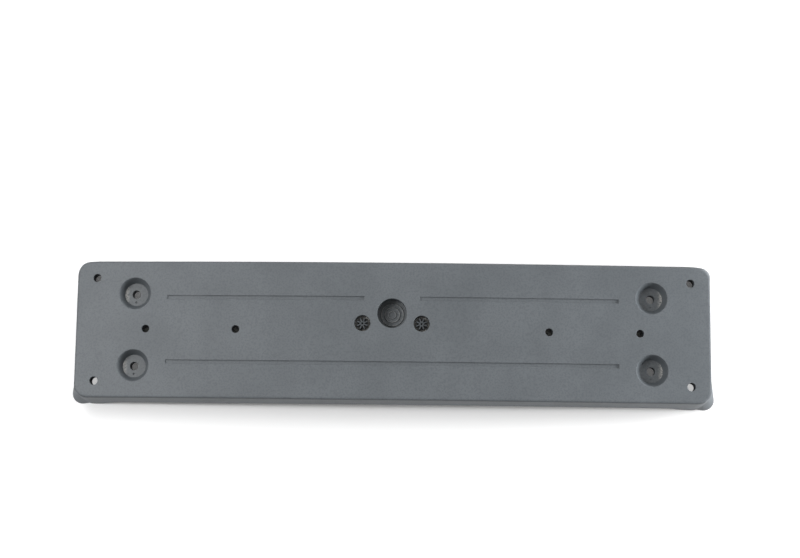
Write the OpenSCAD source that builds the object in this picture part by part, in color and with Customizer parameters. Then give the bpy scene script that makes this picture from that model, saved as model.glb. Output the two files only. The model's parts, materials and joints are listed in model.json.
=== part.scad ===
// Number plate holder for a car bumper, injection moulded in one piece.
// It lies face up: +X runs along its length, +Y towards the upper edge of the plate and +Z out of
// the face. Z = 0 is the plane of the two end feet, and the origin is under the middle of the face.

/* [Face] */
// Length of the face along X, where it meets the end walls
face_l = 524; // [480:1:580]
// Height of the face along Y, where it meets the long walls
face_h = 112.5; // [108:0.5:140]
// Radius of the four corners of the face, seen from the front
corner_r = 11; // [7:0.5:16]
// Radius of the rounded edge between the face and the walls
edge_r = 2; // [1:0.25:3]
// Slope of the bowed face at its two ends in degrees (237 in 3116, so its sine and cosine are short)
bow_angle = 4.3495; // [3:0.0005:5.5]
// Thickness of the face
face_t = 2.6; // [2:0.1:3.2]
// Height of the crown of the face above the feet
crown_h = 33.4; // [30:0.2:42]

/* [Skirt] */
// Thickness of the walls round the edge
skirt_t = 2.4; // [1.8:0.1:3.2]
// Depth of the long walls between the feet, below the face
skirt_depth = 18.5; // [16.5:0.5:20]
// Outward slope of the walls in degrees
skirt_draft = 9.5; // [6:0.5:12]
// Length of each end foot, from the end of the face inwards
foot_l = 13; // [8:1:18]
// Length over which a long wall runs down to a foot
foot_run = 23; // [16:1:30]

/* [Corner feet] */
// How far a lower foot stands out past the end of the face at its corner
foot_flare_x = 7; // [6:0.1:7.6]
// How far a lower foot stands out past the long side of the face at its corner
foot_flare_y = 6; // [5.4:0.1:6.6]
// How much less the two upper feet stand out, both ways
upper_foot_drop = 1.4; // [0:0.1:1.6]
// Height over which the corners run out to the feet
foot_h = 20; // [18:0.5:20]
// Radius of the corners of the feet
foot_corner_r = 9.5; // [8:0.5:10.5]

/* [Screw wells] */
// Distance between the well centres along X
well_pitch_x = 427; // [410:1:432]
// Distance between the well centres along Y
well_pitch_y = 59.6; // [56:0.2:64]
// Diameter of a well at the face
well_mouth_d = 26.4; // [24.4:0.2:26.8]
// Diameter of the floor of a well
well_floor_d = 19; // [17:0.5:21]
// Depth of a well at its centre
well_depth = 9; // [7:0.5:10]
// Diameter of the bumper screw hole in a well
well_hole_d = 7; // [5:0.1:8]
// Diameter of the clamping boss under a well
well_boss_d = 13; // [11:0.5:15]
// Diameter of the small pip beside the screw hole
pip_d = 1.6; // [1:0.1:2]
// Distance of the pip from the screw hole's centre
pip_offset = 6.6; // [5.6:0.1:7]

/* [Plate screw holes] */
// Distance of the corner holes from the ends of the face
corner_inset_x = 16.5; // [15:0.5:22]
// Distance of the corner holes from the long sides of the face
corner_inset_y = 13.6; // [12.6:0.1:16]
// Diameter of the corner holes
corner_hole_d = 6.8; // [4:0.1:7]
// Length of the corner holes, sleeve included
corner_hole_depth = 11; // [6:0.5:12]
// Distance between the outer two holes of the middle row
outer_pitch = 407; // [396:1:412]
// Distance between the inner two holes of the middle row
inner_pitch = 257.4; // [240:0.2:270]
// Height of the middle row above the middle of the face
row_y = 0.5; // [-4:0.1:4]
// Diameter of the blind screw holes in the middle row
row_hole_d = 6.4; // [4:0.1:6.6]
// Depth of the blind screw holes
row_hole_depth = 12; // [9:0.5:13]

/* [Centre] */
// Diameter of the centre recess
recess_d = 24.4; // [21:0.2:25]
// Depth of the centre recess
recess_depth = 13; // [7:0.5:13]
// Height of the centre recess above the middle of the face
recess_y = 14.6; // [13:0.2:17]
// Number of raised rings on the floor of the centre recess
recess_rings = 3; // [1:1:4]
// Distance between the two sockets
socket_pitch = 48.6; // [46:0.2:54]
// Height of the sockets above the middle of the face
socket_y = 6.2; // [4:0.2:9]
// Diameter of a socket
socket_d = 13.3; // [12:0.1:14]
// Depth of a toothed socket
socket_depth = 8; // [6:0.5:10]
// Diameter of the star that stands in a socket
star_d = 9.6; // [8:0.2:10.4]
// Number of arms of the star
star_arms = 8; // [5:1:9]
// Width of an arm of the star
star_arm_w = 1.1; // [0.8:0.1:1.4]
// How far the star ends below the face
star_drop = 2; // [1:0.2:3]
// Diameter of the round middle of the star
star_hub_d = 4; // [3.6:0.1:4.6]

/* [Face grooves] */
// Width of the grooves
groove_w = 3.2; // [2:0.1:4]
// Depth of the grooves
groove_depth = 1; // [0.4:0.1:1.2]
// Distance of the grooves above and below the middle of the face
groove_y = 26.7; // [24:0.1:30]
// Distance from the middle of the face to the outer groove ends
groove_end = 186; // [170:0.2:192]
// Distance between the two upper grooves
groove_gap = 46; // [40:1:60]

/* [Ribs] */
// Thickness of the ribs on the bumper side
rib_t = 1.8; // [1.4:0.1:2.4]
// Distance of the rib edges in front of the wall edges
rib_setback = 0.8; // [0.4:0.1:2]
// Number of rib bays between the middle and an inner screw hole
inner_bays = 3; // [2:1:4]
// Number of rib bays between an inner and an outer screw hole
outer_bays = 2; // [1:1:3]
// Wall of the cups and sleeves behind the face
cup_t = 2; // [1.6:0.1:2.6]

/* [Hidden] */

// Facets of a whole turn, for holes, for corners and for the long bow
$fn = 64;
corner_fn = 96;
bow_fn = 1800;

half_l = face_l / 2;
half_h = face_h / 2;
// Straight length of the end walls between the corner circles
end_straight = face_h - 2 * corner_r;
// The corner circles are centred where the bow ends and the flat end strips begin
bow_r = (half_l - corner_r * cos(bow_angle)) / sin(bow_angle);
bow_end = bow_r * sin(bow_angle);
// The bow is swept in from each end, and the two sweeps overlap by this share of a half
bow_overlap = 0.5;
// Cutting tools stand this far clear of what they cut
clear = 2;
// Walls are drawn deeper than the feet, and the bumper side is cut from them afterwards
wall_draw = crown_h + 3 * clear;
// Edge rounds are this much fuller than a true tangent round, so that they cross both faces cleanly
round_bite = 0.002;
inner_edge_r = edge_r / 2;
foot_start = half_l - foot_l;
foot_steps = 12;
arc_steps = 36;
// At its top a foot starts this far inside the face's corner
foot_bite = 1.4;
// Angles in degrees at which a foot's sides run back into the long wall and the end wall
foot_fade_x = 2.2;
foot_fade_y = 6;
// Length of a foot's sides, enough to end inside the walls
foot_reach = 60;

cup_floor_t = face_t;
// Raised rings of the centre recess
ring_w = 0.9;
ring_h = 0.6;
// Small hole in the middle of a star
star_eye_d = 1.6;
rib_depth = skirt_depth - rib_setback;
well_spots = [for (sx = [-1, 1], sy = [-1, 1]) [sx * well_pitch_x / 2, sy * well_pitch_y / 2]];
corner_x = half_l - corner_inset_x;
corner_y = half_h - corner_inset_y;
corner_spots = [for (sx = [-1, 1], sy = [-1, 1]) [sx * corner_x, sy * corner_y]];
row_spots = [for (p = [outer_pitch, inner_pitch], s = [-1, 1]) [s * p / 2, row_y]];
socket_spots = [for (s = [-1, 1]) [s * socket_pitch / 2, socket_y]];
inner_rib_x = [for (i = [1:inner_bays]) i * inner_pitch / 2 / inner_bays];
outer_rib_x = [for (i = [1:outer_bays]) inner_pitch / 2 + i * (outer_pitch - inner_pitch) / 2 / outer_bays];
cross_rib_x = concat(inner_rib_x, outer_rib_x);
long_rib_y = [-well_pitch_y / 2, row_y, well_pitch_y / 2];

// Height of the face above the feet at distance x from the middle
function face_z(x) =
    let (a = min(abs(x), bow_end))
    crown_h - bow_r + sqrt(bow_r * bow_r - a * a) - (abs(x) - a) * tan(bow_angle);

// Smooth step from 0 to 1
function ease(t) = let (u = min(max(t, 0), 1)) u * u * (3 - 2 * u);

// Height of the bumper-side edge of the walls at distance x from the middle
function rear_z(x) = (face_z(x) - skirt_depth) * (1 - ease((abs(x) - foot_start + foot_run) / foot_run));

// Section of one wall: outwards from a corner's centre, or from further back, and down from the face
module wall_section(back, top, wall, r) {
    edge = corner_r + top * tan(skirt_draft) - wall / cos(skirt_draft);
    centre = edge - r * tan((90 - skirt_draft) / 2);
    wall_end = corner_r + wall_draw * tan(skirt_draft) - wall / cos(skirt_draft);
    round_end = top + r * (1 - sin(skirt_draft));
    difference() {
        polygon([[-back, -top], [edge, -top], [wall_end, -wall_draw], [-back, -wall_draw]]);
        difference() {
            polygon([
                [centre, r - top], [edge + r, r - top], [edge + r, -round_end],
                [centre + r * cos(skirt_draft), -round_end], [centre, -top - r]
            ]);
            translate([centre, -top - r]) circle(r = r + round_bite);
        }
    }
}

// Sweeps a section along the bow; its x is the height above the face, its y runs along Y
module along_bow(angle, turn) {
    translate([0, 0, crown_h - bow_r])
        rotate([90, 0, 0])
            rotate([0, 0, 90 - angle])
                rotate_extrude(angle = turn, $fn = bow_fn)
                    translate([bow_r, 0])
                        children();
}

// Places both ends of the bow, with Z square to the face
module at_bow_ends() {
    for (side = [0, 1])
        mirror([side, 0, 0])
            translate([0, 0, crown_h - bow_r])
                rotate([0, bow_angle, 0])
                    translate([0, 0, bow_r])
                        children();
}

// Bowed block with sloping walls and rounded edges, set in by a wall and down by a top
module bowed_form(top, wall, r) {
    for (end = [0, 1])
        mirror([end, 0, 0])
            along_bow(bow_angle, (1 + bow_overlap) * bow_angle)
                for (side = [0, 1])
                    mirror([0, side, 0])
                        mirror([1, -1, 0])
                            translate([end_straight / 2, 0])
                                wall_section(end_straight / 2, top, wall, r);
    at_bow_ends() {
        for (side = [0, 1])
            mirror([0, side, 0])
                translate([0, end_straight / 2, 0])
                    rotate_extrude(angle = 90, $fn = corner_fn)
                        wall_section(0, top, wall, r);
        translate([0, end_straight / 2, 0])
            rotate([90, 0, 0])
                linear_extrude(end_straight)
                    wall_section(0, top, wall, r);
    }
}

// Section of a foot, square to its leaning corner edge, which is at the origin
module foot_section(r) {
    corner = 90 - foot_fade_x - foot_fade_y;
    middle = 225 + (foot_fade_x - foot_fade_y) / 2;
    touch = r / tan(corner / 2);
    side_x = [-cos(foot_fade_x), -sin(foot_fade_x)];
    side_y = [-sin(foot_fade_y), -cos(foot_fade_y)];
    polygon([
        touch * side_x, foot_reach * side_x, foot_reach * (side_x + side_y),
        foot_reach * side_y, touch * side_y
    ]);
    translate(r / sin(corner / 2) * [cos(middle), sin(middle)])
        circle(r = r + round_bite);
}

// Blocks that lean out at the four corners as feet, set in by a wall
module corner_feet(wall) {
    for (end = [0, 1], side = [0, 1]) {
        out_x = foot_flare_x - (1 - side) * upper_foot_drop;
        out_y = foot_flare_y - (1 - side) * upper_foot_drop;
        lean_x = out_x + foot_bite;
        lean_y = out_y + foot_bite;
        edge = norm([lean_x, lean_y, foot_h]);
        mirror([end, 0, 0])
            mirror([0, side, 0])
                intersection() {
                    translate([half_l + out_x - wall, half_h + out_y - wall, 0])
                        rotate([asin(lean_y / edge), -atan(lean_x / foot_h), 0])
                            translate([0, 0, -foot_h / 2])
                                linear_extrude(edge + foot_h)
                                    foot_section(foot_corner_r - wall);
                    translate([half_l / 2, 0, -clear])
                        cube([half_l, half_h + wall_draw, foot_h + clear - wall]);
                }
    }
}

// Everything behind the bumper-side edge of the walls
module bumper_space() {
    reach = half_l + wall_draw;
    arc_end = foot_start - foot_run;
    left = [for (i = [0:foot_steps - 1]) -foot_start + i * foot_run / foot_steps];
    middle = [for (i = [0:arc_steps]) -arc_end + i * 2 * arc_end / arc_steps];
    right = [for (i = [1:foot_steps]) arc_end + i * foot_run / foot_steps];
    edge = [for (x = concat(left, middle, right)) [x, rear_z(x)]];
    rotate([90, 0, 0])
        linear_extrude(face_h + 2 * wall_draw, center = true)
            polygon(concat([[-reach, -wall_draw], [-reach, 0]], edge, [[reach, 0], [reach, -wall_draw]]));
}

// Bowed slab under the face, as deep as the ribs
module rib_layer() {
    layer_angle = asin((half_l + clear) / bow_r);
    along_bow(layer_angle, 2 * layer_angle)
        translate([-rib_depth, -half_h - wall_draw])
            square([rib_depth, face_h + 2 * wall_draw]);
}

// Lengthwise and crosswise ribs, which end just short of the bumper
module ribs() {
    intersection() {
        rib_layer();
        union() {
            for (y = long_rib_y)
                translate([-half_l - clear, y - rib_t / 2, 0])
                    cube([face_l + 2 * clear, rib_t, crown_h]);
            for (x = concat([0], cross_rib_x, -cross_rib_x))
                translate([x - rib_t / 2, -half_h - wall_draw, 0])
                    cube([rib_t, face_h + 2 * wall_draw, crown_h]);
        }
    }
}

// Cup round a well, with the clamping boss that reaches the bumper
module well_cup() {
    floor_z = face_z(well_pitch_x / 2) - well_depth;
    flare = (well_mouth_d - well_floor_d) / 2 / well_depth;
    boss_z = rear_z(well_pitch_x / 2) + rib_setback;
    translate([0, 0, floor_z - cup_floor_t])
        cylinder(
            h = well_depth + cup_floor_t,
            r1 = well_floor_d / 2 + cup_t - flare * cup_floor_t,
            r2 = well_mouth_d / 2 + cup_t
        );
    translate([0, 0, boss_z])
        cylinder(h = floor_z - boss_z, d = well_boss_d);
}

// Well with its sloping wall, screw hole and pip
module well_cut() {
    floor_z = face_z(well_pitch_x / 2) - well_depth;
    flare = (well_mouth_d - well_floor_d) / 2 / well_depth;
    translate([0, 0, floor_z])
        cylinder(
            h = well_depth + clear,
            r1 = well_floor_d / 2,
            r2 = well_mouth_d / 2 + flare * clear
        );
    cylinder(h = crown_h, d = well_hole_d);
    translate([0, -pip_offset, floor_z - pip_d / 2])
        cylinder(h = pip_d, d = pip_d);
}

// Socket with a star of thin arms standing on its floor
module socket_cut() {
    floor_z = face_z(socket_pitch / 2) - socket_depth;
    star_h = socket_depth - star_drop;
    difference() {
        translate([0, 0, floor_z])
            cylinder(h = socket_depth + clear, d = socket_d);
        difference() {
            translate([0, 0, floor_z - clear]) {
                cylinder(h = star_h + clear, d = star_hub_d);
                for (i = [0:star_arms - 1])
                    rotate([0, 0, (i + 0.5) * 360 / star_arms])
                        translate([0, -star_arm_w / 2, 0])
                            cube([star_d / 2, star_arm_w, star_h + clear]);
            }
            translate([0, 0, floor_z + star_h / 2])
                cylinder(h = star_h, d = star_eye_d);
        }
    }
}

// Centre recess with raised rings on its floor
module recess_cut() {
    floor_z = crown_h - recess_depth;
    pitch = recess_d / 2 / (recess_rings + 1);
    difference() {
        translate([0, 0, floor_z])
            cylinder(h = recess_depth + clear, d = recess_d);
        for (i = [1:recess_rings])
            translate([0, 0, floor_z - clear])
                difference() {
                    cylinder(h = clear + ring_h, r = i * pitch + ring_w / 2);
                    cylinder(h = clear + ring_h, r = i * pitch - ring_w / 2);
                }
    }
}

// Cups and sleeves that close the wells, sockets, recess and screw holes behind the face
module backing() {
    for (spot = well_spots)
        translate(spot) well_cup();
    for (spot = corner_spots)
        translate([spot.x, spot.y, face_z(spot.x) - corner_hole_depth])
            cylinder(h = corner_hole_depth, d = corner_hole_d + 2 * cup_t);
    for (spot = row_spots)
        translate([spot.x, spot.y, face_z(spot.x) - row_hole_depth - cup_t])
            cylinder(h = row_hole_depth + cup_t, d = row_hole_d + 2 * cup_t);
    for (spot = socket_spots)
        translate([spot.x, spot.y, face_z(spot.x) - socket_depth - cup_t])
            cylinder(h = socket_depth + cup_t, d = socket_d + 2 * cup_t);
    translate([0, recess_y, crown_h - recess_depth - cup_t])
        cylinder(h = recess_depth + cup_t, d = recess_d + 2 * cup_t);
}

// One face groove between two distances from the middle
module groove(x1, x2, y) {
    start_angle = asin(x2 / bow_r);
    along_bow(start_angle, start_angle - asin(x1 / bow_r))
        translate([-groove_depth, -y - groove_w / 2])
            square([groove_depth + clear, groove_w]);
}

// Wells, sockets, recess, holes and grooves, cut from the front
module front_cuts() {
    for (spot = well_spots)
        translate(spot) well_cut();
    for (spot = corner_spots)
        translate([spot.x, spot.y, -clear])
            cylinder(h = crown_h + 2 * clear, d = corner_hole_d);
    for (spot = row_spots)
        translate([spot.x, spot.y, face_z(spot.x) - row_hole_depth])
            cylinder(h = row_hole_depth + clear, d = row_hole_d);
    for (spot = socket_spots)
        translate(spot) socket_cut();
    translate([0, recess_y, 0]) recess_cut();
    groove(-groove_end, -groove_gap / 2, groove_y);
    groove(groove_gap / 2, groove_end, groove_y);
    groove(-groove_end, groove_end, -groove_y);
}

// What stays empty behind the face: the ribs are left standing first, the cups and sleeves after them
module hollow() {
    difference() {
        difference() {
            union() {
                bowed_form(face_t, skirt_t, inner_edge_r);
                corner_feet(skirt_t);
            }
            ribs();
        }
        backing();
    }
}

// The whole moulding
module plate_holder() {
    color("#6f7275")
        difference() {
            union() {
                bowed_form(0, 0, edge_r);
                corner_feet(0);
            }
            hollow();
            bumper_space();
            front_cuts();
        }
}

plate_holder();
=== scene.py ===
"""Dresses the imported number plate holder: its moulded plastic, the pale table, the light and the camera."""

from __future__ import annotations

import json
import logging
import math
from collections.abc import Sequence
from dataclasses import dataclass, field
from enum import Enum

import bpy
from mathutils import Matrix, Vector

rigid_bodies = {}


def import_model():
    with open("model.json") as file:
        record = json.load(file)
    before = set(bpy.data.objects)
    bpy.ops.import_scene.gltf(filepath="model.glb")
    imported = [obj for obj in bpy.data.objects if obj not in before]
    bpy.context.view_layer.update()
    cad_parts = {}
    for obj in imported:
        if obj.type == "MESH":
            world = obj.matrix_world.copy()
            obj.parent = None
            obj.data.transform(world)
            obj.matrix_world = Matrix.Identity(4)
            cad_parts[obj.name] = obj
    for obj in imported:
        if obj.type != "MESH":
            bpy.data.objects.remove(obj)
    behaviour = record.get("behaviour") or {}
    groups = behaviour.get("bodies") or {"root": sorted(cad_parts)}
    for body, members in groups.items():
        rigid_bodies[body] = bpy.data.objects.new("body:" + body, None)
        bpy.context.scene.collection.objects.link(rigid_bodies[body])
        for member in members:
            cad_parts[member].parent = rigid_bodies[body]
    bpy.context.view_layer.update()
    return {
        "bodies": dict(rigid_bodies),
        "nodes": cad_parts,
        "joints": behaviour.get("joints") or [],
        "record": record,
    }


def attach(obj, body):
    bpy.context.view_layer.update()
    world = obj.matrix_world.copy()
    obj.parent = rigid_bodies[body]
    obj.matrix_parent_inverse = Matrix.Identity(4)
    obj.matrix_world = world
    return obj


LOG = logging.getLogger("plate_holder")

SHELL_NODE = "plate_holder"
BODY = "root"
MM = 0.001
WHITE = "#ffffff"
PALE_DUST = "#c9c7c1"
# Painted shade, drawn on the arms of the stars and along the rim of the face
PAINTED_SHADE_GREY = "#33373a"

Tree = bpy.types.NodeTree
Socket = bpy.types.NodeSocket
Colour = tuple[float, float, float, float]
# Two ends of a range, or where a soft step is 0 and where it is 1
Span = tuple[float, float]


def linear(hex_colour: str) -> Colour:
    """Turns an sRGB hex colour to the linear colour that a shader takes.

    Args:
        hex_colour: Six hex digits with a leading hash.

    Returns:
        Linear red, green and blue, and an alpha of 1.
    """
    parts = [int(hex_colour[i : i + 2], 16) / 255 for i in (1, 3, 5)]
    curve = [c / 12.92 if c <= 0.04045 else ((c + 0.055) / 1.055) ** 2.4 for c in parts]
    return (curve[0], curve[1], curve[2], 1.0)


def add_node(
    tree: Tree, kind: str, links: dict[str | int, object] | None = None, **settings: object
) -> bpy.types.Node:
    """Adds one node with its settings, socket values and links.

    Args:
        tree: The node tree that gets the node.
        kind: The node's type name.
        links: Input name or index to a value, or to the output socket that feeds it.
        **settings: Properties of the node, such as operation.

    Returns:
        The new node.
    """
    node = tree.nodes.new(kind)
    for name, value in settings.items():
        setattr(node, name, value)
    for key, value in (links or {}).items():
        socket = node.inputs[key]
        if isinstance(value, Socket):
            tree.links.new(value, socket)
        else:
            socket.default_value = value
    return node


def soft_mask(
    tree: Tree, steps: Sequence[tuple[Socket, float, float]], *factors: Socket | float, unit: float = 1.0
) -> Socket:
    """Multiplies smooth steps and other factors to one mask.

    Args:
        tree: The tree that gets the nodes.
        steps: The value of each step, where it is 0 and where it reaches 1; the second may be lower.
        *factors: Other masks, or plain shares, that the steps are multiplied with.
        unit: Size of one unit of the limits, such as MM.

    Returns:
        The mask's value.
    """
    parts: list[Socket | float] = []
    for value, start, end in steps:
        limits = {"From Min": min(start, end) * unit, "From Max": max(start, end) * unit}
        ends = {"To Min": 0.0, "To Max": 1.0} if start < end else {"To Min": 1.0, "To Max": 0.0}
        step = add_node(
            tree, "ShaderNodeMapRange", {"Value": value} | limits | ends, interpolation_type="SMOOTHSTEP"
        )
        parts.append(step.outputs["Result"])
    parts += factors
    mask = parts[0]
    for part in parts[1:]:
        mask = add_node(tree, "ShaderNodeMath", {0: mask, 1: part}, operation="MULTIPLY").outputs["Value"]
    return mask


def new_material(name: str) -> tuple[bpy.types.Material, Tree]:
    """Makes a material with an empty node tree.

    Args:
        name: The material's name.

    Returns:
        The material and its tree.
    """
    material = bpy.data.materials.new(name)
    material.use_nodes = True
    material.node_tree.nodes.clear()
    return material, material.node_tree


@dataclass(frozen=True)
class SurfacePlace:
    """Where a point of a surface lies: its own coordinates, and its distances from the middle."""

    point: Socket
    axis: bpy.types.bpy_prop_collection
    along: Socket
    across: Socket

    @classmethod
    def read(cls, tree: Tree) -> SurfacePlace:
        """Adds the nodes that give a point's place.

        Args:
            tree: The material's tree.

        Returns:
            The place's sockets.
        """
        point = add_node(tree, "ShaderNodeTexCoord").outputs["Object"]
        axis = add_node(tree, "ShaderNodeSeparateXYZ", {"Vector": point}).outputs
        along, across = (
            add_node(tree, "ShaderNodeMath", {0: axis[name]}, operation="ABSOLUTE").outputs["Value"]
            for name in "XY"
        )
        return cls(point, axis, along, across)


@dataclass(frozen=True)
class PhotoCamera:
    """The photograph's viewpoint, fitted to the holes, wells and edges of the face."""

    place_mm: tuple[float, float, float] = (29.7, -126.65, 1254.5)
    aim_mm: tuple[float, float, float] = (6.1, 43.45, 30.0)
    roll_deg: float = 0.704
    lens_mm: float = 67.5
    sensor_mm: float = 36.0
    clip_m: Span = (0.01, 20.0)

    def build(self) -> bpy.types.Object:
        """Makes the camera the scene's own.

        Returns:
            The camera object.
        """
        data = bpy.data.cameras.new("photo_camera")
        data.lens = self.lens_mm
        data.sensor_width = self.sensor_mm
        data.sensor_fit = "HORIZONTAL"
        data.clip_start, data.clip_end = self.clip_m
        camera = bpy.data.objects.new("photo_camera", data)
        bpy.context.scene.collection.objects.link(camera)
        place = Vector(self.place_mm) * MM
        back = (place - Vector(self.aim_mm) * MM).normalized()
        right = Vector((0, 1, 0)).cross(back).normalized()
        up = back.cross(right)
        turn = math.radians(self.roll_deg)
        rolled_right = right * math.cos(turn) + up * math.sin(turn)
        rolled_up = up * math.cos(turn) - right * math.sin(turn)
        axes = Matrix((rolled_right, rolled_up, back)).transposed().to_4x4()
        camera.matrix_world = Matrix.Translation(place) @ axes
        bpy.context.scene.camera = camera
        return camera


@dataclass(frozen=True)
class FaceBow:
    """The bow of the face and the size of the hollow, as the part's source draws them."""

    crown_mm: float = 33.4
    radius_mm: float = 3310.0
    face_t_mm: float = 2.6
    hollow_half_l_mm: float = 260.0
    hollow_half_h_mm: float = 55.2


class MouldZone(Enum):
    """How the mould's steel was finished, which the plastic copies."""

    GRAINED = "grained"
    MACHINED = "smooth_and_shaded"


class DustAndShadePlace(Enum):
    """Which surfaces the pale dust and the painted shade lie on."""

    FLOORS = "floors"
    RIM = "rim"


@dataclass(frozen=True)
class Pattern:
    """One noise pattern: its size, its octaves of finer noise, and where its mask is 0 and 1, if it has one."""

    size_mm: float
    octaves: float
    limits: Span | None = None


@dataclass(frozen=True)
class DustAndShade:
    """A layer of pale dust, or of painted shade, between two depths below the face."""

    depth_mm: Span
    share: float
    shade: str
    place: DustAndShadePlace = DustAndShadePlace.FLOORS
    speckled: bool = False
    soft_mm: float = 0.2


@dataclass(frozen=True)
class MouldedPolypropylene:
    """Polypropylene copolymer, injection moulded against a spark-eroded mould.

    The fine pitted grain breaks the reflections up, so the face reads as soft blue-grey with a faint
    mottle; the pits of the grain are painted darker, as painted shade for the grain's relief. The
    wells and the bumper side come off machined steel, so they are smoother; below the face they are
    also painted darker, as painted shade in the recesses and on the bumper side. The mould rounds each
    edge slightly, and handling has rubbed some edges a little lighter. Pale dust has settled in specks
    in the narrow blind holes and sockets, where nothing wipes it away. Painted shade darkens the thin
    arms of the stars and the rim of the face, where it draws the fine line along the lower edge.
    """

    base: str = "#5f6468"
    cloud: str = "#666b6f"
    # Painted shade in the pits of the grain, drawn where the grain's relief is lowest
    pit_shade: str = "#4b4f53"
    worn: str = "#7c8083"
    # Painted shade: the recesses and the bumper side below the face are drawn in this darker colour
    smooth_and_shaded: str = "#585d61"
    roughness: dict[MouldZone, float] = field(
        default_factory=lambda: {MouldZone.GRAINED: 0.52, MouldZone.MACHINED: 0.4}
    )
    roughness_spread: float = 0.08
    ior: float = 1.49
    smooth_and_shaded_from_mm: Span = (1.3, 2.4)
    zone_edge_mm: float = 1.0
    pit_shade_share: float = 0.35
    grain_lift_mm: float = 0.03
    sink_lift_mm: float = 0.05
    wear_share: float = 0.6
    wear_turn: Span = (0.985, 0.86)
    floor_slope: Span = (0.7, 0.95)
    edge_round_mm: float = 0.7
    corner_round_mm: float = 3.2
    sharp_along_mm: Span = (250.0, 236.0)
    sharp_across_mm: Span = (80.0, 66.0)
    sharp_depth_mm: Span = (7.0, 4.0)
    bevel_samples: int = 8
    # The real grain is about 0.3 mm across; it is drawn coarser, so that it shows at this distance
    patterns: dict[str, Pattern] = field(
        default_factory=lambda: {
            "cloud": Pattern(45.0, 3.0, (0.3, 0.7)),
            "grain": Pattern(1.4, 2.0, (0.56, 0.36)),
            "rub": Pattern(18.0, 2.0, (0.5, 0.66)),
            "dust": Pattern(1.6, 3.0, (0.3, 0.6)),
            "sheen": Pattern(36.0, 2.0),
            "sink": Pattern(9.0, 1.0),
        }
    )
    pattern_roughness: float = 0.6
    dust_and_shade: tuple[DustAndShade, ...] = (
        DustAndShade((7.2, 8.5), 1.0, PALE_DUST, speckled=True),
        DustAndShade((10.9, 12.3), 1.0, PALE_DUST, speckled=True),
        DustAndShade((8.5, 14.0), 0.06, PALE_DUST, speckled=True),
        # Painted shade on the thin arms of the stars, and along the rim of the face, where it draws the fine
        # line along the lower edge
        DustAndShade((1.5, 3.0), 0.6, PAINTED_SHADE_GREY),
        DustAndShade((0.5, 2.1), 0.5, PAINTED_SHADE_GREY, DustAndShadePlace.RIM),
    )
    bow: FaceBow = field(default_factory=FaceBow)

    def draw_patterns(self, tree: Tree, point: Socket) -> tuple[dict[str, Socket], dict[str, Socket]]:
        """Adds the noise patterns, and the masks of those that have one.

        Args:
            tree: The material's tree.
            point: Object coordinates.

        Returns:
            Each pattern's value by its name, about 0.5 on average, and each mask by its name.
        """
        values, masks = {}, {}
        for name, pattern in self.patterns.items():
            drawn = {"Vector": point, "Scale": 1 / (pattern.size_mm * MM), "Detail": pattern.octaves}
            drawn["Roughness"] = self.pattern_roughness
            values[name] = add_node(tree, "ShaderNodeTexNoise", drawn).outputs["Fac"]
            if pattern.limits:
                masks[name] = soft_mask(tree, [(values[name], *pattern.limits)])
        return values, masks

    def depth(self, tree: Tree, place: SurfacePlace) -> Socket:
        """Adds the depth below the bowed face.

        Args:
            tree: The material's tree.
            place: Where the point lies.

        Returns:
            The depth in metres.
        """
        x = place.axis["X"]
        square = add_node(tree, "ShaderNodeMath", {0: x, 1: x}, operation="MULTIPLY").outputs["Value"]
        # So shallow an arc is a parabola to within 0.02 mm
        curve = {0: square, 1: -0.5 / (self.bow.radius_mm * MM), 2: self.bow.crown_mm * MM}
        face = add_node(tree, "ShaderNodeMath", curve, operation="MULTIPLY_ADD").outputs["Value"]
        below = add_node(tree, "ShaderNodeMath", {0: face, 1: place.axis["Z"]}, operation="SUBTRACT")
        return below.outputs["Value"]

    def rounded_edges(self, tree: Tree, place: SurfacePlace, depth: Socket) -> Socket:
        """Adds the normal that rounds the edges.

        The mould blends the feet into the walls in a wide sweep; the other edges are nearly sharp.

        Args:
            tree: The material's tree.
            place: Where the point lies.
            depth: Its depth below the face.

        Returns:
            The rounded normal.
        """
        middle = [(place.along, *self.sharp_along_mm), (place.across, *self.sharp_across_mm)]
        inner = soft_mask(tree, middle, unit=MM)
        shallow = soft_mask(tree, [(depth, *self.sharp_depth_mm)], unit=MM)
        sharp = add_node(tree, "ShaderNodeMath", {0: inner, 1: shallow}, operation="MAXIMUM")
        radii = {"To Min": self.corner_round_mm * MM, "To Max": self.edge_round_mm * MM}
        blend = {"Value": sharp.outputs["Value"]} | radii
        radius = add_node(tree, "ShaderNodeMapRange", blend).outputs["Result"]
        bevel = add_node(tree, "ShaderNodeBevel", {"Radius": radius}, samples=self.bevel_samples)
        return bevel.outputs["Normal"]

    def draw_dust_and_shade(
        self, tree: Tree, depth: Socket, places: dict[DustAndShadePlace, Socket], specks: Socket
    ) -> list[tuple[Socket, str]]:
        """Adds the masks of the pale dust and of the painted shade.

        Args:
            tree: The material's tree.
            depth: Depth below the face.
            places: The mask of each kind of surface.
            specks: The mask of the specks of dust.

        Returns:
            Each layer's mask and colour.
        """
        layers = []
        for layer in self.dust_and_shade:
            top, bottom = layer.depth_mm
            steps = [
                (depth, top - layer.soft_mm, top + layer.soft_mm),
                (depth, bottom + layer.soft_mm, bottom - layer.soft_mm),
            ]
            factors = [layer.share, places[layer.place]] + ([specks] if layer.speckled else [])
            layers.append((soft_mask(tree, steps, *factors, unit=MM), layer.shade))
        return layers

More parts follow.
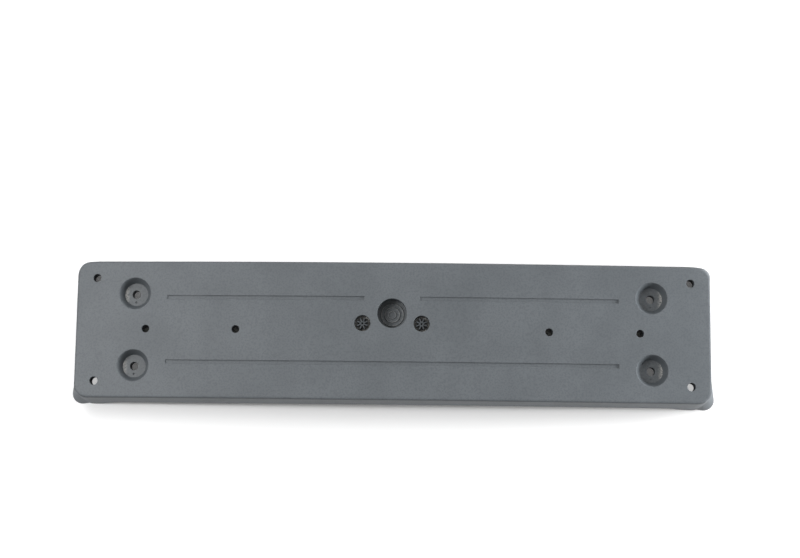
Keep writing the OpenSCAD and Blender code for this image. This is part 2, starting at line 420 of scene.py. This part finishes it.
    def build(self) -> bpy.types.Material:
        """Makes the material.

        Returns:
            The finished material.
        """
        material, tree = new_material("polypropylene_moulded_spark_eroded_grain")
        place = SurfacePlace.read(tree)
        values, masks = self.draw_patterns(tree, place.point)
        depth = self.depth(tree, place)
        half_l, half_h = self.bow.hollow_half_l_mm, self.bow.hollow_half_h_mm
        edges = [
            (place.along, half_l, half_l - self.zone_edge_mm),
            (place.across, half_h, half_h - self.zone_edge_mm),
        ]
        hollow = soft_mask(tree, edges, unit=MM)
        # The smooth zone below the face, which also gets painted shade
        smooth_and_shaded = soft_mask(tree, [(depth, *self.smooth_and_shaded_from_mm)], hollow, unit=MM)
        grained, rim = (
            add_node(tree, "ShaderNodeMath", {0: 1.0, 1: share}, operation="SUBTRACT").outputs["Value"]
            for share in (smooth_and_shaded, hollow)
        )
        rounded = self.rounded_edges(tree, place, depth)
        facet = add_node(tree, "ShaderNodeNewGeometry").outputs["True Normal"]
        turned = add_node(tree, "ShaderNodeVectorMath", {0: rounded, 1: facet}, operation="DOT_PRODUCT")
        wear = [(turned.outputs["Value"], *self.wear_turn)]
        upward = add_node(tree, "ShaderNodeSeparateXYZ", {"Vector": facet}).outputs["Z"]
        floors = soft_mask(tree, [(upward, *self.floor_slope)], hollow)
        dust_and_shade_places = {DustAndShadePlace.FLOORS: floors, DustAndShadePlace.RIM: rim}
        layers = [
            (masks["cloud"], self.cloud),
            # Painted shade in the pits of the grain
            (soft_mask(tree, [], masks["grain"], grained, self.pit_shade_share), self.pit_shade),
            # Painted shade over the recesses and the bumper side
            (smooth_and_shaded, self.smooth_and_shaded),
            (soft_mask(tree, wear, masks["rub"], self.wear_share), self.worn),
            *self.draw_dust_and_shade(tree, depth, dust_and_shade_places, masks["dust"]),
        ]
        colour: Socket | Colour = linear(self.base)
        for share, shade in layers:
            mixed = {"Factor": share, "A": colour, "B": linear(shade)}
            colour = add_node(tree, "ShaderNodeMix", mixed, data_type="RGBA").outputs["Result"]

        ends = {"To Min": self.roughness[MouldZone.GRAINED], "To Max": self.roughness[MouldZone.MACHINED]}
        gloss = add_node(tree, "ShaderNodeMapRange", {"Value": smooth_and_shaded} | ends).outputs["Result"]
        uneven = {0: values["sheen"], 1: self.roughness_spread, 2: gloss}
        roughness = add_node(tree, "ShaderNodeMath", uneven, operation="MULTIPLY_ADD").outputs["Value"]

        # The relief of the grain, then the faint waves that the thick places behind the face leave in
        # it when they shrink as they cool
        normal = rounded
        for height, lift_mm in (
            (soft_mask(tree, [], values["grain"], grained), self.grain_lift_mm),
            (values["sink"], self.sink_lift_mm),
        ):
            bump = {"Height": height, "Distance": lift_mm * MM, "Normal": normal}
            normal = add_node(tree, "ShaderNodeBump", bump).outputs["Normal"]
        surface = {"Base Color": colour, "Roughness": roughness, "IOR": self.ior, "Normal": normal}
        shader = add_node(tree, "ShaderNodeBsdfPrincipled", surface)
        add_node(tree, "ShaderNodeOutputMaterial", {"Surface": shader.outputs["BSDF"]})
        return material


@dataclass(frozen=True)
class TableTop:
    """White laminate under the part. It gives the eye a plain pale ground that keeps the soft shadow.

    A glow that only the camera sees takes the lit laminate to white, most of all far away. It is
    kept low under the part and where the shadow falls along the lower edge, which paints the shadow
    there deeper, and it is raised at the lower corners into a painted pool of light, where the
    laminate shows through the corner holes. Each pair of millimetres says where a soft edge of one of
    these regions is 0 and where it is 1.
    """

    colour: str = "#fbfbfb"
    roughness: float = 0.6
    lift: float = 0.19
    lift_under: float = 0.09
    # Painted light: the glow at the lower corners, under the corner holes
    corner_light_pool: float = 0.42
    far_mm: Span = (350.0, 1000.0)
    under_along_mm: Span = (262.0, 250.0)
    under_across_mm: Span = (54.0, 48.0)
    shadow_lower_mm: Span = (-86.0, -56.0)
    shadow_upper_mm: Span = (62.0, 54.0)
    corners_along_mm: Span = (225.0, 243.0)
    corners_lower_mm: Span = (25.0, -25.0)

    def glow(self, tree: Tree) -> Socket:
        """Adds the strength of the glow that only the camera sees.

        Args:
            tree: The material's tree.

        Returns:
            The glow's strength, 1 for white.
        """
        place = SurfacePlace.read(tree)
        y = place.axis["Y"]
        # Where the glow is kept low, which paints the shadow under the part and along the lower edge deeper
        edges = [
            (place.along, *self.under_along_mm),
            (y, *self.shadow_lower_mm),
            (y, *self.shadow_upper_mm),
        ]
        shaded = soft_mask(tree, edges, unit=MM)
        # A painted pool of light on the laminate at the lower corners, seen through the corner holes
        ends = [(place.along, *self.corners_along_mm), (y, *self.corners_lower_mm)]
        corners = soft_mask(tree, ends, self.corner_light_pool, unit=MM)
        added = add_node(tree, "ShaderNodeMath", {0: corners, 1: self.lift_under}).outputs["Value"]
        under = soft_mask(tree, [(place.across, *self.under_across_mm)], added, unit=MM)
        away = add_node(tree, "ShaderNodeVectorMath", {0: place.point}, operation="LENGTH")
        far = soft_mask(tree, [(away.outputs["Value"], *self.far_mm)], unit=MM)
        glow: Socket | float = self.lift
        for share, strength in ((far, 1.0), (shaded, under)):
            mixed = {"Factor": share, "A": glow, "B": strength}
            glow = add_node(tree, "ShaderNodeMix", mixed, data_type="FLOAT").outputs["Result"]
        camera_ray = add_node(tree, "ShaderNodeLightPath").outputs["Is Camera Ray"]
        return soft_mask(tree, [], camera_ray, glow)

    def build(self) -> bpy.types.Material:
        """Makes the material.

        Returns:
            The finished material.
        """
        material, tree = new_material("white_laminate_table")
        surface = {"Base Color": linear(self.colour), "Roughness": self.roughness, "Specular IOR Level": 0.0}
        shader = add_node(tree, "ShaderNodeBsdfPrincipled", surface).outputs["BSDF"]
        lit = {"Color": linear(WHITE), "Strength": self.glow(tree)}
        white = add_node(tree, "ShaderNodeEmission", lit).outputs["Emission"]
        seen = add_node(tree, "ShaderNodeAddShader", {0: shader, 1: white}).outputs["Shader"]
        add_node(tree, "ShaderNodeOutputMaterial", {"Surface": seen})
        return material


@dataclass(frozen=True)
class SkyLobe:
    """One wide, soft-edged patch of the white surroundings."""

    azimuth_deg: float
    height_deg: float
    sharpness: float
    strength: float

    def direction(self) -> tuple[float, float, float]:
        """Gives the patch's direction: azimuth 0 is +X, 90 is +Y."""
        turn, rise = math.radians(self.azimuth_deg), math.radians(self.height_deg)
        return (math.cos(turn) * math.cos(rise), math.sin(turn) * math.cos(rise), math.sin(rise))


@dataclass(frozen=True)
class SoftBox:
    """One rectangular soft light, aimed at a point of the part.

    One without glare lights the part, but no gloss mirrors it.
    """

    name: str
    place_mm: tuple[float, float, float]
    aim_mm: tuple[float, float, float]
    size_mm: tuple[float, float]
    power_w: float
    glare: bool = True

    def build(self) -> bpy.types.Object:
        """Makes the lamp.

        Returns:
            The lamp object.
        """
        data = bpy.data.lights.new(f"soft_box_{self.name}", "AREA")
        data.shape = "RECTANGLE"
        data.size = self.size_mm[0] * MM
        data.size_y = self.size_mm[1] * MM
        data.energy = self.power_w
        lamp = bpy.data.objects.new(data.name, data)
        bpy.context.scene.collection.objects.link(lamp)
        lamp.visible_glossy = self.glare
        lamp.location = Vector(self.place_mm) * MM
        lamp.rotation_mode = "QUATERNION"
        towards = (Vector(self.aim_mm) * MM - lamp.location).normalized()
        lamp.rotation_quaternion = towards.to_track_quat("-Z", "Y")
        return lamp


@dataclass
class Studio:
    """The pale table and the white surroundings, brighter in some directions."""

    table_reach_mm: float = 3000.0
    dome: float = 0.3
    lobes: tuple[SkyLobe, ...] = (SkyLobe(45, 8, 14, 2.5), SkyLobe(45, 35, 12, 1.1))
    boxes: tuple[SoftBox, ...] = (
        SoftBox("left", (-650, 100, 550), (-200, 0, 0), (400, 400), 0.22),
        SoftBox("right_low", (900, 0, 220), (200, 0, 0), (400, 300), 9.0, glare=False),
        SoftBox("top_left", (-500, 550, 750), (-100, 0, 0), (400, 400), 1.0),
        SoftBox("high_top", (0, 560, 1200), (0, 0, 0), (900, 350), 0.5),
        SoftBox("high_left", (-820, 60, 1060), (-240, 0, 0), (260, 450), 7.6),
    )

    def build_table(self) -> bpy.types.Object:
        """Makes the table top.

        Returns:
            The table's object.
        """
        reach = self.table_reach_mm * MM
        mesh = bpy.data.meshes.new("table_top")
        corners = [(-reach, -reach, 0), (reach, -reach, 0), (reach, reach, 0), (-reach, reach, 0)]
        mesh.from_pydata(corners, [], [(0, 1, 2, 3)])
        mesh.materials.append(TableTop().build())
        table = bpy.data.objects.new("table_top", mesh)
        bpy.context.scene.collection.objects.link(table)
        return table

    def build_world(self) -> bpy.types.World:
        """Makes the surroundings: plain white to the camera, a soft uneven dome as a light.

        Returns:
            The scene's world.
        """
        world = bpy.data.worlds.new("white_surroundings")
        world.use_nodes = True
        tree = world.node_tree
        tree.nodes.clear()
        way = add_node(tree, "ShaderNodeTexCoord").outputs["Generated"]
        total: Socket | float = self.dome
        for lobe in self.lobes:
            towards = {0: way, 1: lobe.direction()}
            facing = add_node(tree, "ShaderNodeVectorMath", towards, operation="DOT_PRODUCT")
            ahead = {0: facing.outputs["Value"], 1: 0.0}
            front = add_node(tree, "ShaderNodeMath", ahead, operation="MAXIMUM")
            power = {0: front.outputs["Value"], 1: lobe.sharpness}
            soft = add_node(tree, "ShaderNodeMath", power, operation="POWER").outputs["Value"]
            summed = {0: soft, 1: lobe.strength, 2: total}
            total = add_node(tree, "ShaderNodeMath", summed, operation="MULTIPLY_ADD").outputs["Value"]
        light, seen = (
            add_node(tree, "ShaderNodeBackground", {"Color": linear(WHITE), "Strength": strength})
            for strength in (total, 1.0)
        )
        camera_ray = add_node(tree, "ShaderNodeLightPath").outputs["Is Camera Ray"]
        mixed = {0: camera_ray, 1: light.outputs["Background"], 2: seen.outputs["Background"]}
        shown = add_node(tree, "ShaderNodeMixShader", mixed).outputs["Shader"]
        add_node(tree, "ShaderNodeOutputWorld", {"Surface": shown})
        bpy.context.scene.world = world
        return world

    def build(self) -> None:
        """Makes the whole studio."""
        self.build_table()
        self.build_world()
        for box in self.boxes:
            box.build()
        LOG.info("dome at %.2f, %d soft patches, %d soft boxes", self.dome, len(self.lobes), len(self.boxes))


@dataclass
class HolderMoulding:
    """The one-piece moulding, as the frame holds it."""

    node: str = SHELL_NODE

    def dress(self, frame: dict, finish: bpy.types.Material) -> bpy.types.Object:
        """Gives the moulding its plastic.

        Args:
            frame: The loaded frame.
            finish: The moulding's plastic.

        Returns:
            The dressed node's object.
        """
        shell = frame["nodes"][self.node]
        for slot in shell.material_slots:
            slot.material = finish
        return shell


@dataclass
class EjectorMarks:
    """Round marks that the mould's ejector pins leave on the bumper side of the face.

    One stands in every second cell between the ribs, clear of the wells, sockets and recess. Each is
    a flat disc, sunk into the wall behind it, so that only its low rim stands proud.
    """

    pin_d_mm: float = 8.0
    proud_mm: float = 0.35
    sunk_mm: float = 0.9
    facets: int = 28
    seed: int = 7
    wear: Span = (0.94, 1.04)
    bow: FaceBow = field(default_factory=FaceBow)
    cells_x_mm: tuple[float, ...] = (21.4, 64.4, 107.3, 147.4, 184.8, 232.0)
    cells_y_mm: tuple[float, ...] = (-42.5, -14.6, 15.2, 42.5)
    sockets_mm: tuple[float, float] = (30.0, 20.0)

    def places(self) -> list[tuple[float, float, float]]:
        """Lists the middles of the marked cells.

        Returns:
            The places in metres, on the plane of the feet.
        """
        spots = []
        for column, across in enumerate(self.cells_y_mm):
            for row, along in enumerate(self.cells_x_mm):
                near_sockets = along < self.sockets_mm[0] and abs(across) < self.sockets_mm[1]
                if (row + column) % 2 == 0 and not near_sockets:
                    spots += [(side * along * MM, across * MM, 0.0) for side in (-1, 1)]
        return spots

    def sizes(self) -> dict[str, float | int]:
        """Lists the values of the tree's named inputs.

        Returns:
            Each input's value by its name, in metres.
        """
        return {
            "Pin radius": self.pin_d_mm / 2 * MM,
            "Disc height": (self.proud_mm + self.sunk_mm) * MM,
            "Sunk depth": self.sunk_mm * MM,
            "Bow radius": self.bow.radius_mm * MM,
            "Inner crown": (self.bow.crown_mm - self.bow.face_t_mm) * MM,
            "Seed": self.seed,
        }

    def build_points(self, tree: Tree, given: bpy.types.bpy_prop_collection) -> tuple[Socket, Socket]:
        """Adds the nodes that lift the points to the bowed face and lean them square to it.

        Args:
            tree: The Geometry Nodes tree.
            given: The tree's named inputs.

        Returns:
            The lifted points, and the rotation at each.
        """
        point = add_node(tree, "GeometryNodeInputPosition").outputs["Position"]
        axis = add_node(tree, "ShaderNodeSeparateXYZ", {"Vector": point}).outputs
        # The arc as a parabola: half of x squared over the bow's radius, below the inner crown
        height = axis["X"]
        for operation, value in (
            ("MULTIPLY", axis["X"]),
            ("MULTIPLY", -0.5),
            ("DIVIDE", given["Bow radius"]),
            ("ADD", given["Inner crown"]),
        ):
            step = add_node(tree, "ShaderNodeMath", {0: height, 1: value}, operation=operation)
            height = step.outputs["Value"]
        raised = add_node(tree, "ShaderNodeCombineXYZ", {"X": axis["X"], "Y": axis["Y"], "Z": height})
        moved = {"Geometry": given["Geometry"], "Position": raised.outputs["Vector"]}
        points = add_node(tree, "GeometryNodeSetPosition", moved).outputs["Geometry"]
        leaning = {0: axis["X"], 1: given["Bow radius"]}
        lean = add_node(tree, "ShaderNodeMath", leaning, operation="DIVIDE").outputs["Value"]
        outward = add_node(tree, "ShaderNodeCombineXYZ", {"X": lean, "Z": 1.0}).outputs["Vector"]
        turn = add_node(tree, "FunctionNodeAlignRotationToVector", {"Vector": outward}, axis="Z")
        return points, turn.outputs["Rotation"]

    def build_disc(self, tree: Tree, given: bpy.types.bpy_prop_collection) -> Socket:
        """Adds the nodes that make one disc, sunk below the point that it stands on.

        Args:
            tree: The Geometry Nodes tree.
            given: The tree's named inputs.

        Returns:
            The disc's geometry.
        """
        size = {"Vertices": self.facets, "Radius": given["Pin radius"], "Depth": given["Disc height"]}
        disc = add_node(tree, "GeometryNodeMeshCylinder", size).outputs["Mesh"]
        half = add_node(tree, "ShaderNodeMath", {0: given["Disc height"], 1: 0.5}, operation="MULTIPLY")
        sunk = {0: given["Sunk depth"], 1: half.outputs["Value"]}
        rise = add_node(tree, "ShaderNodeMath", sunk, operation="SUBTRACT").outputs["Value"]
        offset = add_node(tree, "ShaderNodeCombineXYZ", {"Z": rise}).outputs["Vector"]
        seated = add_node(tree, "GeometryNodeTransform", {"Geometry": disc, "Translation": offset})
        return seated.outputs["Geometry"]

    def build_tree(self, finish: bpy.types.Material) -> Tree:
        """Makes the Geometry Nodes tree that sets one disc on each point, square to the bowed face.

        Args:
            finish: The moulding's plastic.

        Returns:
            The finished tree.
        """
        tree = bpy.data.node_groups.new("ejector_marks_on_bow", "GeometryNodeTree")
        sockets = tree.interface
        sockets.new_socket("Geometry", in_out="INPUT", socket_type="NodeSocketGeometry")
        for name, value in self.sizes().items():
            kind = "NodeSocketInt" if isinstance(value, int) else "NodeSocketFloat"
            sockets.new_socket(name, in_out="INPUT", socket_type=kind)
        sockets.new_socket("Geometry", in_out="OUTPUT", socket_type="NodeSocketGeometry")
        given = add_node(tree, "NodeGroupInput").outputs
        points, rotation = self.build_points(tree, given)
        disc = self.build_disc(tree, given)
        # The pins wear unevenly, so no two marks are quite as wide
        lowest, highest = self.wear
        draws = {2: lowest, 3: highest, "Seed": given["Seed"]}
        width = add_node(tree, "FunctionNodeRandomValue", draws, data_type="FLOAT").outputs[1]
        widths = {"X": width, "Y": width, "Z": 1.0}
        scale = add_node(tree, "ShaderNodeCombineXYZ", widths).outputs["Vector"]
        spread = {"Points": points, "Instance": disc, "Rotation": rotation, "Scale": scale}
        set_out = add_node(tree, "GeometryNodeInstanceOnPoints", spread).outputs["Instances"]
        real = add_node(tree, "GeometryNodeRealizeInstances", {"Geometry": set_out}).outputs["Geometry"]
        dressed = add_node(tree, "GeometryNodeSetMaterial", {"Geometry": real, "Material": finish})
        add_node(tree, "NodeGroupOutput", {"Geometry": dressed.outputs["Geometry"]})
        return tree

    def build(self, finish: bpy.types.Material) -> bpy.types.Object:
        """Makes the marks as one plain mesh that rides on the moulding.

        Args:
            finish: The moulding's plastic.

        Returns:
            The marks' object.
        """
        tree = self.build_tree(finish)
        seeds = bpy.data.meshes.new("ejector_cells")
        seeds.from_pydata(self.places(), [], [])
        holder = bpy.data.objects.new("ejector_cells", seeds)
        bpy.context.scene.collection.objects.link(holder)
        modifier = holder.modifiers.new("ejector_marks", "NODES")
        modifier.node_group = tree
        values = self.sizes()
        for item in tree.interface.items_tree:
            if item.item_type == "SOCKET" and item.in_out == "INPUT" and item.name in values:
                modifier[item.identifier] = values[item.name]
        ready = holder.evaluated_get(bpy.context.evaluated_depsgraph_get())
        mesh = bpy.data.meshes.new_from_object(ready)
        mesh.name = "ejector_marks"
        holder.modifiers.remove(modifier)
        bpy.data.objects.remove(holder)
        marks = bpy.data.objects.new("ejector_marks", mesh)
        bpy.context.scene.collection.objects.link(marks)
        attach(marks, BODY)
        return marks


def main() -> None:
    """Builds the camera, the studio and the dressed part."""
    logging.basicConfig(level=logging.INFO, format="%(name)s: %(message)s")
    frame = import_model()
    bpy.context.scene.view_settings.view_transform = "Standard"
    PhotoCamera().build()
    Studio().build()
    plastic = MouldedPolypropylene().build()
    for piece in (HolderMoulding().dress(frame, plastic), EjectorMarks().build(plastic)):
        LOG.info("%s has %d faces", piece.name, len(piece.data.polygons))


if __name__ == "__main__":
    main()
